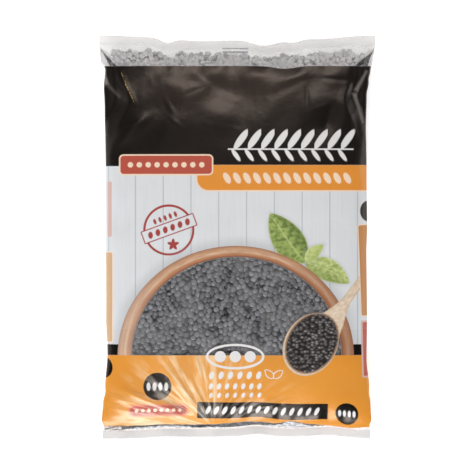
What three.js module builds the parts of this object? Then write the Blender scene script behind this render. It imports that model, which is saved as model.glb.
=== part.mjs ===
// A film bag of beluga lentils with side gussets, sealed across both ends.
// It lies on its back with the printed front up, as a bag that can't stand by itself does.
// Millimetres. +X is the reader's right, +Y the bag's top, +Z up from the table.
// The origin is on the table, under the middle of the bag's outline.

import * as THREE from "three";
import { mergeVertices } from "three/addons/utils/BufferGeometryUtils.js";

// ---- driving sizes of the bag ----
const OUTLINE_LENGTH = 222.8; // between the corners of the two seals
const FILLED_HEIGHT = 26; // table to the crown of the front
const SEAL_HEIGHT = 9; // the seals stick out at this height over the table
const SIDE_HEIGHT = 11.5; // the crease in the middle of a side wall
const TOP_SEAL_DEPTH = 4.6; // width of the sealed strip at the top
const BOTTOM_SEAL_DEPTH = 5;
const SEAL_THICKNESS = 0.5; // both films of a seal together

// Each side of the outline, from the top down: [height on the bag, distance from the middle].
const LEFT_SIDE = [
  [111, 75.9],
  [107, 76],
  [103.5, 77],
  [98, 76.8],
  [92.5, 74],
  [86, 74.4],
  [70, 73.8],
  [40, 73.2],
  [-45, 73],
  [-64, 72.3],
  [-84, 73.6],
  [-91, 75.2],
  [-101, 75.9],
  [-106, 74],
];
const RIGHT_SIDE = [
  [111, 76.3],
  [107, 76.3],
  [103.5, 77.1],
  [98, 76.2],
  [92, 75],
  [86, 73.8],
  [78, 72.4],
  [60, 72],
  [36, 72.3],
  [5, 72.6],
  [-8, 72.2],
  [-45, 72.6],
  [-66, 72.3],
  [-84, 73.9],
  [-92, 74.8],
  [-101, 75.5],
  [-106, 73.6],
];

// ---- cross-section and profile ----
const CROWN_POWER = 2.5; // higher is flatter across the middle of the front
const SHOULDER_POWER = 0.34; // lower is squarer where the front meets the sides
const END_POWER = 3.2; // how far the full height reaches towards the seals
const END_ROUNDING = 0.56; // how bluntly it then falls to the seal
const FLAT_LENGTH = 0.8; // share of the length that lies flat on the table
const FLAT_WIDTH = 0.76; // share of the width that does
const HEEL_POWER = 2.2; // rounding of the back's sides up from the table
const RISE_POWER = 1.7; // rounding of the back's ends up from the table

// ---- gussets: the side walls fold inwards along a crease, most of all beside the seals ----
const CREASE_DEPTH = 1.6; // in the middle of the bag
const CREASE_SHARE = 0.36; // share of the wall's height that the crease takes up
const TUCK_DEPTH = 7; // beside a seal
const TUCK_START = 6.5; // distance from the seal where the tuck is deepest
const TUCK_END = 26; // where it has run out into the crease

// ---- creases from the corners of the top seal into the front, outside which the film falls ----
const CORNER_CREASE = [
  // [height on the bag, distance from the middle]
  [104, 75],
  [92, 65.5],
  [75, 59],
  [60, 65],
  [44, 72.5],
];
const CORNER_SLOPE = 0.55;
const CORNER_END = 44;
const CORNER_START = 85;

// ---- waves that the filling pulls the seals' edges into: [place across, depth, half breadth] ----
const TOP_WAVES = [
  [0, 3.2, 55],
  [-24, 0.8, 14],
  [-38.5, 2.3, 4.5],
  [14.5, 2.9, 8],
  [26.5, 1, 9],
  [31.5, 1.2, 4.5],
  [48, 0.9, 12],
];
const BOTTOM_WAVES = [
  [10, 1.4, 55],
  [-40, 0.7, 12],
  [11, 1.3, 9],
  [50, 1.4, 12],
];
const WAVE_REACH = 26; // how far into the bag they carry

// ---- ripples up and down: [height, length of a wave, start] ----
const SEAL_CURLS = [
  [0.8, 107, 0],
  [0.45, 46, 1],
];
const PLEATS = [
  [0.5, 13.3, 0],
  [0.4, 8.9, 1],
];
const PLEAT_REACH = 9; // how far the pleats run from a seal

// ---- soft folds of the front film: [from x, from y, to x, to y, height, half breadth] ----
const FOLDS = [
  [-44, 70, -70, 48, 1.2, 3.5],
  [-28, 95, 0, 75, -1.2, 5.5],
  [4, 104, -4, 60, -1.5, 13],
  [34, 96, 62, 84, 0.9, 6],
  [56, 74, 48, 56, -0.8, 5],
  [-68, -84, -16, -106, 1.2, 3.8],
  [-52, -76, -16, -106, -1, 3.8],
  [-34, -71, -15, -106, 1.2, 3.8],
  [-6, -84, -6, -106, 0.8, 3.8],
  [20, -88, 18, -107, 0.8, 4],
];
const FOLD_ROOM = 9; // a fold has its full height where the film stands this far over the side walls
const DEEPEST_FOLD = 0.5; // the share of that height that a fold may take away

// ---- the lengthwise seam of the back, laid flat ----
const SEAM_HALF_BREADTH = 6.5;
const SEAM_STEP = 0.45;
const SEAM_SLOPE = 1.5;
const SEAM_SOFTNESS = 14;

// ---- mesh ----
const FRONT_STEPS = 48;
const BACK_STEPS = 36;
const BODY_ROWS = 62;
const SEAL_ROWS = 2;
const SAME_POINT = 0.0005;

const TOP_EDGE = OUTLINE_LENGTH / 2;
const BOTTOM_EDGE = -TOP_EDGE;
const TOP_SEAL = TOP_EDGE - TOP_SEAL_DEPTH;
const BOTTOM_SEAL = BOTTOM_EDGE + BOTTOM_SEAL_DEPTH;
const HALF_BODY = (TOP_SEAL - BOTTOM_SEAL) / 2;

const { lerp, clamp, smoothstep } = THREE.MathUtils;
const bell = (d) => Math.exp(-d * d);
const sum = (list, term) => list.reduce((total, item) => total + term(item), 0);
const ripple = (list, x) => sum(list, ([h, length, start]) => h * Math.sin((2 * Math.PI * x) / length + start));
const pull = (list, x) => sum(list, ([at, depth, halfBreadth]) => depth * bell((x - at) / halfBreadth));

// The value at y of a smooth curve through [y, value] pairs given from the top down.
function along(pairs, y) {
  const next = pairs.findIndex(([at]) => at < y);
  if (next === 0) return pairs[0][1];
  if (next < 0) return pairs.at(-1)[1];
  const [[upper, upperValue], [lower, lowerValue]] = [pairs[next - 1], pairs[next]];
  return lerp(lowerValue, upperValue, smoothstep(y, lower, upper));
}

// Distance from the nearer seal, and the share of the way from the middle to it.
const fromSeal = (y) => clamp(Math.min(TOP_SEAL - y, y - BOTTOM_SEAL), 0, HALF_BODY);
const towardsSeal = (y) => 1 - fromSeal(y) / HALF_BODY;

// Share of the full height that the filling reaches, and how far the back has risen towards the seal.
const fullness = (y) => (1 - towardsSeal(y) ** END_POWER) ** END_ROUNDING;
const backRise = (y) => Math.max(0, (towardsSeal(y) - FLAT_LENGTH) / (1 - FLAT_LENGTH)) ** RISE_POWER;

const crownHeight = (y) => lerp(SEAL_HEIGHT, FILLED_HEIGHT - SEAL_THICKNESS, fullness(y));
const sideHeight = (y) => lerp(SEAL_HEIGHT, SIDE_HEIGHT, fullness(y));
const backHeight = (y) => SEAL_HEIGHT * backRise(y);

// Height of one soft fold at a point of the front.
function fold(x, y, [x0, y0, x1, y1, height, halfBreadth]) {
  const way = new THREE.Vector2(x1 - x0, y1 - y0);
  const point = new THREE.Vector2(x - x0, y - y0);
  const t = clamp(point.dot(way) / way.lengthSq(), 0, 1);
  return height * Math.sin(Math.PI * t) * bell(point.cross(way) / way.length() / halfBreadth);
}

// How much the film outside the crease from a top corner has fallen.
function cornerFall(x, y) {
  const outside = Math.max(0, Math.abs(x) - along(CORNER_CREASE, y));
  return CORNER_SLOPE * outside * smoothstep(y, CORNER_END, CORNER_START);
}

// Height of the front film over a point.
function frontHeight(x, y, half) {
  const rise = (1 - Math.abs(x / half) ** CROWN_POWER) ** SHOULDER_POWER;
  const room = (crownHeight(y) - sideHeight(y)) * rise;
  const folds = sum(FOLDS, (f) => fold(x, y, f));
  const pleats = ripple(PLEATS, x) * bell(fromSeal(y) / PLEAT_REACH);
  const relief = Math.max(folds + pleats - cornerFall(x, y), -DEEPEST_FOLD * room);
  return sideHeight(y) + room + relief * smoothstep(room, 0, FOLD_ROOM);
}

// Height of the back film: flat on the table and turned up into the sides. Its seam stands out a little.
function backSurface(x, y, half) {
  const heel = Math.max(0, (Math.abs(x / half) - FLAT_WIDTH) / (1 - FLAT_WIDTH));
  const rise = 1 - Math.sqrt(1 - heel ** HEEL_POWER);
  const beside = Math.abs(x) - SEAM_HALF_BREADTH;
  const seam = smoothstep(beside, 0, SEAM_SLOPE) * (1 - smoothstep(beside, 0, SEAM_SOFTNESS));
  return lerp(backHeight(y), sideHeight(y), rise) + SEAM_STEP * seam * fullness(y);
}

// How far the gusset draws in a point of the side wall at height z.
function drawnIn(y, z) {
  const side = sideHeight(y);
  const wall = z > side ? crownHeight(y) - side : side - backHeight(y);
  const off = Math.abs(z - side) / Math.max(CREASE_SHARE * wall, SEAL_THICKNESS);
  const opened = smoothstep(fromSeal(y), 0, TUCK_START);
  const tucked = 1 - smoothstep(fromSeal(y), TUCK_START, TUCK_END);
  return opened * lerp(CREASE_DEPTH, TUCK_DEPTH, tucked) * Math.max(0, 1 - off);
}

// A ring is a level line of the flat bag, and this is where the seals' waves pull a point of it.
function pulledIn(x, y) {
  const nearTop = 1 - smoothstep(TOP_SEAL - y, 0, WAVE_REACH);
  const nearBottom = 1 - smoothstep(y - BOTTOM_SEAL, 0, WAVE_REACH);
  return y - pull(TOP_WAVES, x) * nearTop + pull(BOTTOM_WAVES, x) * nearBottom;
}

// One closed ring round the bag: the front from left to right, then the back from right to left.
function ring(y) {
  const point = (across, surface, lift) => {
    const half = along(across < 0 ? LEFT_SIDE : RIGHT_SIDE, y);
    const x = half * Math.sin((across * Math.PI) / 2);
    const z = surface(x, y, half);
    const inwards = Math.abs(x) > FLAT_WIDTH * half ? Math.sign(x) * drawnIn(y, z) : 0;
    const curl = ripple(SEAL_CURLS, x) * backRise(y);
    return new THREE.Vector3(x - inwards, pulledIn(x, y), z + curl + lift);
  };
  const acrossBag = (steps) => Array.from({ length: steps + 1 }, (_, i) => (2 * i) / steps - 1);
  const front = acrossBag(FRONT_STEPS).map((across) => point(across, frontHeight, SEAL_THICKNESS));
  const back = acrossBag(BACK_STEPS).map((across) => point(-across, backSurface, 0));
  return [...front, ...back];
}

// The heights on the bag of the rings, closer together towards the seals, where the form changes fastest.
function ringHeights() {
  const seal = Array.from({ length: SEAL_ROWS }, (_, i) => (i + 1) / SEAL_ROWS);
  const body = Array.from({ length: BODY_ROWS + 1 }, (_, i) => {
    const even = i / BODY_ROWS;
    const crowded = (1 - Math.cos(Math.PI * even)) / 2;
    return lerp(BOTTOM_SEAL, TOP_SEAL, (even + crowded) / 2);
  });
  const below = seal.map((share) => BOTTOM_SEAL - share * BOTTOM_SEAL_DEPTH).reverse();
  const above = seal.map((share) => TOP_SEAL + share * TOP_SEAL_DEPTH);
  return [...below, ...body, ...above];
}

// A closed skin through rings of equal length. Its two end rings are filled.
function skinThrough(rings) {
  const count = rings[0].length;
  const corners = [];
  for (let r = 0; r + 1 < rings.length; r++) {
    for (let i = 0; i < count; i++) {
      const [a, b] = [r * count + i, r * count + ((i + 1) % count)];
      corners.push(a, b, b + count, a, b + count, a + count);
    }
  }
  const fill = (r, clockwiseOut) => {
    const outline = rings[r].map((p) => new THREE.Vector2(p.x, p.z));
    for (const face of THREE.ShapeUtils.triangulateShape(outline, [])) {
      const clockwise = THREE.ShapeUtils.isClockWise(face.map((i) => outline[i]));
      const filled = face.map((i) => r * count + i);
      corners.push(...(clockwise === clockwiseOut ? filled : filled.reverse()));
    }
  };
  fill(0, false);
  fill(rings.length - 1, true);
  const geometry = new THREE.BufferGeometry().setFromPoints(rings.flat());
  geometry.setIndex(corners);
  return mergeVertices(geometry, SAME_POINT);
}

function makeBag() {
  const film = new THREE.MeshStandardMaterial({ color: 0x2f2a26, roughness: 0.35, metalness: 0 });
  const bag = new THREE.Mesh(skinThrough(ringHeights().map(ring)), film);
  bag.name = "bag";
  return bag;
}

const part = new THREE.Group();
part.add(makeBag());

export default part;
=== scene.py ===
"""A film bag of beluga lentils, lying on its back with the printed front up.

Sizes are in millimetres in the bag's own frame: +X is the reader's right, +Y the bag's top, +Z up
from the table. They become metres where a mesh is made.
"""

import math

import bpy
import numpy as np
from mathutils import Matrix, Vector


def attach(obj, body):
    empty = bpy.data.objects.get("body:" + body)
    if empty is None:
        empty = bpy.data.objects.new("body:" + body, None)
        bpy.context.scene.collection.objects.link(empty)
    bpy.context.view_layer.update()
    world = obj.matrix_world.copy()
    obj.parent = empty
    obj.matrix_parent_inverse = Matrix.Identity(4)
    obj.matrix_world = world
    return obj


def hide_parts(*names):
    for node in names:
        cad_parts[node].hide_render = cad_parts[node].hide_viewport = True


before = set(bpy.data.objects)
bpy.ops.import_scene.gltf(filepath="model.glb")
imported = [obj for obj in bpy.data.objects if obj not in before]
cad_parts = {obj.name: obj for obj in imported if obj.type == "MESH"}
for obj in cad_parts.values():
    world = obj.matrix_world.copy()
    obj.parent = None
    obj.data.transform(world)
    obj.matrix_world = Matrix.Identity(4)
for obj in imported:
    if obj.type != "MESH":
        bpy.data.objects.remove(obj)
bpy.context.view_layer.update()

MM = 0.001

# ------------------------------------------------------------------ form of the filled bag

OUTLINE_LENGTH = 222.8
FILLED_HEIGHT = 26
SEAL_HEIGHT = 9
SIDE_HEIGHT = 11.5
TOP_SEAL_DEPTH = 4.6
BOTTOM_SEAL_DEPTH = 5
SEAL_THICKNESS = 0.5

# Each side of the outline, from the top down: (height on the bag, distance from the middle).
LEFT_SIDE = [
    (111, 75.9),
    (107, 76),
    (103.5, 77),
    (98, 76.8),
    (92.5, 74),
    (86, 74.4),
    (70, 73.8),
    (40, 73.2),
    (-45, 73),
    (-64, 72.3),
    (-84, 73.6),
    (-91, 75.2),
    (-101, 75.9),
    (-106, 74),
]
RIGHT_SIDE = [
    (111, 76.3),
    (107, 76.3),
    (103.5, 77.1),
    (98, 76.2),
    (92, 75),
    (86, 73.8),
    (78, 72.4),
    (60, 72),
    (36, 72.3),
    (5, 72.6),
    (-8, 72.2),
    (-45, 72.6),
    (-66, 72.3),
    (-84, 73.9),
    (-92, 74.8),
    (-101, 75.5),
    (-106, 73.6),
]

# Cross-section and lengthwise profile.
CROWN_POWER = 2.5
SHOULDER_POWER = 0.34
END_POWER = 3.2
END_ROUNDING = 0.56
FLAT_LENGTH = 0.8
FLAT_WIDTH = 0.76
HEEL_POWER = 2.2
RISE_POWER = 1.7

# Gussets: how deep the side walls are folded in, in the middle of the bag and beside the seals.
CREASE_DEPTH = 1.6
CREASE_SHARE = 0.36
TUCK_DEPTH = 7
TUCK_START = 6.5
TUCK_END = 26

# Creases from the top seal's corners into the front, outside which the film falls:
# (height on the bag, distance from the middle).
CORNER_CREASE = [(104, 75), (92, 65.5), (75, 59), (60, 65), (44, 72.5)]
CORNER_SLOPE = 0.55
CORNER_END = 44
CORNER_START = 85

# Waves of the seals' edges: (place across, depth, half breadth).
TOP_WAVES = [
    (0, 3.2, 55),
    (-24, 0.8, 14),
    (-38.5, 2.3, 4.5),
    (14.5, 2.9, 8),
    (26.5, 1, 9),
    (31.5, 1.2, 4.5),
    (48, 0.9, 12),
]
BOTTOM_WAVES = [(10, 1.4, 55), (-40, 0.7, 12), (11, 1.3, 9), (50, 1.4, 12)]
WAVE_REACH = 26

# Ripples up and down: (height, length of a wave, start).
SEAL_CURLS = [(0.8, 107, 0), (0.45, 46, 1)]
PLEATS = [(0.5, 13.3, 0), (0.4, 8.9, 1)]
PLEAT_REACH = 9

# Folds of the front film, as on the solid: (from x, from y, to x, to y, height, half breadth).
FOLDS = [
    (-44, 70, -70, 48, 1.2, 3.5),
    (-28, 95, 0, 75, -1.2, 5.5),
    (4, 104, -4, 60, -1.5, 13),
    (34, 96, 62, 84, 0.9, 6),
    (56, 74, 48, 56, -0.8, 5),
    (-68, -84, -16, -106, 1.2, 3.8),
    (-52, -76, -16, -106, -1, 3.8),
    (-34, -71, -15, -106, 1.2, 3.8),
    (-6, -84, -6, -106, 0.8, 3.8),
    (20, -88, 18, -107, 0.8, 4),
]
# A fold has its full height where the film stands this far over the side walls.
FOLD_ROOM = 9
DEEPEST_FOLD = 0.5

# The lengthwise seam of the back, laid flat.
SEAM_HALF_BREADTH = 6.5
SEAM_STEP = 0.45
SEAM_SLOPE = 1.5
SEAM_SOFTNESS = 14

TOP_EDGE = OUTLINE_LENGTH / 2
BOTTOM_EDGE = -TOP_EDGE
TOP_SEAL = TOP_EDGE - TOP_SEAL_DEPTH
BOTTOM_SEAL = BOTTOM_EDGE + BOTTOM_SEAL_DEPTH
HALF_BODY = (TOP_SEAL - BOTTOM_SEAL) / 2

# Film detail finer than the solid's.
GRID = 0.8  # spacing of the film's mesh
BACK_GRID = 1.6
PRINT_SPLIT = 21  # the level between the front's upper and lower material
FRONT_EDGE = 0.93  # share of the half width where the front is folded into the side walls
GIRTH_STEPS = 3001  # steps that measure the girth
UPPER_FILM, LOWER_FILM, BACK_FILM = range(3)  # places of the film's materials on its mesh

# Sharper creases of the black band: (from x, from y, to x, to y, height, half breadth).
BAND_CREASES = [
    (-70.5, 94, -70.2, 80, 1.4, 1.5),
    (-64.5, 94, -59.5, 80, 0.35, 1.0),
    (-61.5, 85, -54.5, 71, 0.35, 1.0),
    (-72, 88, -58, 74, 0.3, 1.8),
    (-68, 54, -48, 67, 0.45, 1.7),
    (-41, 79, -33, 65, 0.25, 1.2),
    (-38, 67, -29, 59, 0.25, 1.0),
    (-31, 77, -17, 83, -0.2, 1.2),
    (-27, 94, -10, 81, -0.25, 2.8),
    (-14, 80, 4, 73, 0.25, 1.6),
    (-26, 74, 4, 63, 0.35, 4.0),
    (-44, 92, -24, 72, 0.55, 5.0),
    (17, 76, 38, 89, -0.6, 3.0),
    (24, 84, 42, 93, 0.5, 3.6),
    (38, 84, 39, 68, -0.35, 1.3),
    (39, 69, 52, 73, 0.25, 1.3),
    (45, 88, 63, 86, -0.4, 1.5),
    (52, 74, 48, 58, -0.4, 1.8),
    (64.5, 96, 63, 76, -0.8, 1.7),
    (71.5, 87, 63, 77, 0.8, 1.2),
    (63, 78, 71.5, 66, 0.9, 1.2),
    (62, 74, 69, 50, -0.4, 2.0),
]

# Creases that fan out from where the foot seal is gathered:
# (turn in degrees, from, to, height, half breadth).
GATHER = (-13, -106)
FAN = [
    (176, 20, 62, 0.6, 1.2),
    (168, 16, 60, 0.7, 1.2),
    (162, 12, 62, 0.9, 1.2),
    (156, 12, 58, 1.1, 1.5),
    (151, 5, 42, 1.2, 1.6),
    (145, 4, 36, 0.7, 1.0),
    (139, 4, 48, 1.0, 1.3),
    (133, 3, 34, 0.6, 0.9),
    (128, 5, 46, 1.4, 2.3),
    (121, 4, 36, -0.6, 1.4),
    (114, 3, 34, 0.8, 1.2),
    (104, 24, 48, 0.8, 1.4),
    (97, 2, 24, 0.7, 1.1),
    (84, 2, 18, 0.7, 1.0),
    (70, 2, 24, 0.9, 1.2),
    (54, 2, 24, 0.8, 1.2),
    (38, 4, 34, 0.7, 1.4),
    (22, 12, 46, 0.6, 1.4),
]


def fan_crease(turn, start, end, height, half_breadth):
    along_x, along_y = math.cos(math.radians(turn)), math.sin(math.radians(turn))
    x, y = GATHER
    ends = (x + start * along_x, y + start * along_y, x + end * along_x, y + end * along_y)
    return (*ends, height, half_breadth)


SHARP_CREASES = BAND_CREASES + [fan_crease(*crease) for crease in FAN]

# The loose film's own soft waves: the random draw, how many, their lengths and height, how far from
# a seal they fade, and the share that is left in the middle of the bag.
WAVE_DRAW = 5
SOFT_WAVES = 14
SOFT_LENGTHS = (18, 44)
SOFT_HEIGHT = 0.15
SOFT_REACH = 48
SOFT_LEAST = 0.3


def smooth(share):
    share = np.clip(share, 0, 1)
    return share * share * (3 - 2 * share)


def bell(distance):
    return np.exp(-distance * distance)


def along(pairs, y):
    """The value at y of a smooth curve through (y, value) pairs given from the top down."""
    heights, values = (np.array(column[::-1], float) for column in zip(*pairs))
    upper = np.clip(np.searchsorted(heights, y), 1, len(heights) - 1)
    lower = upper - 1
    share = smooth((y - heights[lower]) / (heights[upper] - heights[lower]))
    return values[lower] + (values[upper] - values[lower]) * share


def ripple(waves, x):
    return sum(height * np.sin(2 * np.pi * x / length + start) for height, length, start in waves)


def pull(waves, x):
    return sum(depth * bell((x - at) / half_breadth) for at, depth, half_breadth in waves)


def blend(low, high, share):
    return low + (high - low) * share


def from_seal(y):
    return np.clip(np.minimum(TOP_SEAL - y, y - BOTTOM_SEAL), 0, HALF_BODY)


def towards_seal(y):
    return 1 - from_seal(y) / HALF_BODY


def fullness(y):
    return (1 - towards_seal(y) ** END_POWER) ** END_ROUNDING


def back_rise(y):
    return np.maximum(0, (towards_seal(y) - FLAT_LENGTH) / (1 - FLAT_LENGTH)) ** RISE_POWER


def crown_height(y):
    return blend(SEAL_HEIGHT, FILLED_HEIGHT - SEAL_THICKNESS, fullness(y))


def side_height(y):
    return blend(SEAL_HEIGHT, SIDE_HEIGHT, fullness(y))


def half_width(share, y):
    return np.where(share < 0, along(LEFT_SIDE, y), along(RIGHT_SIDE, y))


def fold(x, y, line):
    """Height of one fold: it swells from nothing at its ends, round or sharp across."""
    x0, y0, x1, y1, height, half_breadth = line
    way = np.array([x1 - x0, y1 - y0], float)
    length = np.hypot(*way)
    share = np.clip(((x - x0) * way[0] + (y - y0) * way[1]) / length**2, 0, 1)
    off = ((x - x0) * way[1] - (y - y0) * way[0]) / length
    return height * np.sin(np.pi * share) * bell(off / half_breadth)


def soft_waves(x, y):
    """Gentle waves that cross one another at random, strongest near the seals."""
    draw = np.random.default_rng(WAVE_DRAW)
    height = 0 * x
    for _ in range(SOFT_WAVES):
        turn, start = draw.uniform(0, 2 * math.pi, 2)
        length = draw.uniform(*SOFT_LENGTHS)
        across = x * math.cos(turn) + y * math.sin(turn)
        height = height + SOFT_HEIGHT * np.sin(2 * math.pi * across / length + start)
    return height * (SOFT_LEAST + (1 - SOFT_LEAST) * bell(from_seal(y) / SOFT_REACH))


def corner_fall(x, y):
    outside = np.maximum(0, np.abs(x) - along(CORNER_CREASE, y))
    return CORNER_SLOPE * outside * smooth((y - CORNER_END) / (CORNER_START - CORNER_END))


def front_height(x, y, half):
    rise = (1 - np.abs(x / half).clip(0, 1) ** CROWN_POWER) ** SHOULDER_POWER
    room = (crown_height(y) - side_height(y)) * rise
    folds = sum(fold(x, y, line) for line in FOLDS + SHARP_CREASES) + soft_waves(x, y)
    pleats = ripple(PLEATS, x) * bell(from_seal(y) / PLEAT_REACH)
    relief = np.maximum(folds + pleats - corner_fall(x, y), -DEEPEST_FOLD * room)
    return side_height(y) + room + relief * smooth(room / FOLD_ROOM)


def back_height(x, y, half):
    heel = np.maximum(0, (np.abs(x / half).clip(0, 1) - FLAT_WIDTH) / (1 - FLAT_WIDTH))
    rise = 1 - np.sqrt(1 - heel**HEEL_POWER)
    beside = np.abs(x) - SEAM_HALF_BREADTH
    seam = smooth(beside / SEAM_SLOPE) * (1 - smooth(beside / SEAM_SOFTNESS))
    return blend(SEAL_HEIGHT * back_rise(y), side_height(y), rise) + SEAM_STEP * seam * fullness(y)


def drawn_in(y, z):
    """How far the gusset draws in a point of the side wall at height z."""
    side = side_height(y)
    wall = np.where(z > side, crown_height(y) - side, side - SEAL_HEIGHT * back_rise(y))
    off = np.abs(z - side) / np.maximum(CREASE_SHARE * wall, SEAL_THICKNESS)
    opened = smooth(from_seal(y) / TUCK_START)
    tucked = 1 - smooth((from_seal(y) - TUCK_START) / (TUCK_END - TUCK_START))
    return opened * blend(CREASE_DEPTH, TUCK_DEPTH, tucked) * np.maximum(0, 1 - off)


def pulled_in(x, y):
    """Where the seals' waves pull a point of a level line of the flat bag."""
    near_top = 1 - smooth((TOP_SEAL - y) / WAVE_REACH)
    near_bottom = 1 - smooth((y - BOTTOM_SEAL) / WAVE_REACH)
    return y - pull(TOP_WAVES, x) * near_top + pull(BOTTOM_WAVES, x) * near_bottom


def film_points(share, y, surface, lift):
    """Points of the front or back film, and their places on the print."""
    half = half_width(share, y)
    x = share * half
    z = surface(x, y, half)
    inwards = np.where(np.abs(share) > FLAT_WIDTH, np.sign(x) * drawn_in(y, z), 0)
    z = z + ripple(SEAL_CURLS, x) * back_rise(y) + lift
    return np.stack([x - inwards, pulled_in(x, y), z], axis=-1)


# ------------------------------------------------------------------ meshes


def mesh_object(name, points, faces, materials, face_materials=None, smooth_faces=True):
    """A mesh object from points in millimetres."""
    mesh = bpy.data.meshes.new(name)
    mesh.from_pydata((np.asarray(points, float) * MM).tolist(), [], faces)
    for material in materials:
        mesh.materials.append(material)
    if face_materials is not None:
        mesh.polygons.foreach_set("material_index", np.asarray(face_materials, np.int32))
    mesh.polygons.foreach_set("use_smooth", [smooth_faces] * len(mesh.polygons))
    mesh.update()
    piece = bpy.data.objects.new(name, mesh)
    bpy.context.scene.collection.objects.link(piece)
    return piece


def mark_points(piece, name, values):
    """Keeps a three-number value on each point, for the materials to read."""
    attribute = piece.data.attributes.new(name, "FLOAT_VECTOR", "POINT")
    attribute.data.foreach_set("vector", np.asarray(values, np.float32).ravel())


def girth_shares(surface, step):
    """Shares of the half width, left to right, evenly spaced round the middle section."""
    fine = np.sin(np.linspace(-1, 1, GIRTH_STEPS) * np.pi / 2)
    half = half_width(fine, 0.0)
    profile = np.stack([fine * half, surface(fine * half, 0.0, half)])
    girth = np.concatenate([[0], np.cumsum(np.hypot(*np.diff(profile)))])
    count = int(girth[-1] / step)
    shares = np.interp(np.linspace(0, girth[-1], count), girth, fine)
    shares[[0, -1]] = -1, 1
    return shares


def print_place(points, shares, y):
    """Places on the print: how far across, the height on the flat bag, and the height as it lies.

    Across is as seen from the front up to its edge folds, and from there round the side walls.
    """
    x = points[..., 0]
    steps = np.linalg.norm(np.diff(points[..., [0, 2]], axis=1), axis=-1)
    girth = np.concatenate([np.zeros((len(points), 1)), np.cumsum(steps, axis=1)], axis=1)
    across = x.copy()
    for side in (-1, 1):
        edge = int(np.argmin(np.abs(shares - side * FRONT_EDGE)))
        beyond = side * shares > side * shares[edge]
        around = x[:, [edge]] + girth - girth[:, [edge]]
        across = np.where(beyond[None, :], around, across)
    return np.stack([across, y + 0 * x, points[..., 1]], axis=-1)


def zipped(first, second):
    """Triangles between two rows of points numbered left to right, the first above the second."""
    faces, i, j = [], 0, 0
    while i + 1 < len(first) or j + 1 < len(second):
        ahead = (i + 1) * (len(second) - 1) <= (j + 1) * (len(first) - 1)
        if j + 1 == len(second) or (i + 1 < len(first) and ahead):
            faces.append((first[i], second[j], first[i + 1]))
            i += 1
        else:
            faces.append((first[i], second[j], second[j + 1]))
            j += 1
    return faces


def film_bag(upper_film, lower_film, back_film):
    """The whole film: front, side walls and back as one closed skin, with sealed ends."""
    rows = np.linspace(BOTTOM_EDGE, TOP_EDGE, int(OUTLINE_LENGTH / GRID))[:, None]
    front_shares = girth_shares(front_height, GRID)
    back_shares = girth_shares(back_height, BACK_GRID)[::-1]
    front = film_points(front_shares[None, :], rows, front_height, SEAL_THICKNESS)
    back = film_points(back_shares[None, :], rows, back_height, 0)
    front_print = print_place(front, front_shares, rows)
    half_back = half_width(back_shares[None, :], rows)
    side_span = np.abs(front_print[:, [0, -1]][..., 0]).mean()
    back_across = np.sign(back_shares) * side_span + (back_shares - np.sign(back_shares)) * -half_back
    back_print = np.stack([back_across, rows + 0 * half_back, back[..., 1]], axis=-1)
    points = np.concatenate([front, back], axis=1)
    places = np.concatenate([front_print, back_print], axis=1)
    levels, count = points.shape[:2]
    front_count = len(front_shares)
    faces, kinds = [], []
    for level in range(levels - 1):
        base = level * count
        front_kind = UPPER_FILM if rows[level, 0] > PRINT_SPLIT else LOWER_FILM
        for near in range(count):
            far = (near + 1) % count
            faces.append((base + near, base + far, base + far + count, base + near + count))
            kinds.append(BACK_FILM if front_count <= near < far else front_kind)
    for level, out, kind in ((0, 1, LOWER_FILM), (levels - 1, -1, UPPER_FILM)):
        over = [level * count + place for place in range(front_count)]
        under = [level * count + place for place in range(count - 1, front_count - 1, -1)]
        cap = zipped(over, under)
        faces += [face[::out] for face in cap]
        kinds += [kind] * len(cap)
    films = [upper_film, lower_film, back_film]
    film = mesh_object("film_bag", points.reshape(-1, 3), faces, films, kinds)
    mark_points(film, "print", places.reshape(-1, 3))
    return film


# ------------------------------------------------------------------ shader building


def colour(red, green, blue):
    """An ink or film colour given from 0 to 255 as it is seen, for a shader."""
    seen = np.array([red, green, blue]) / 255
    light = np.where(seen <= 0.04045, seen / 12.92, ((seen + 0.055) / 1.055) ** 2.4)
    return (*light.tolist(), 1)


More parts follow.
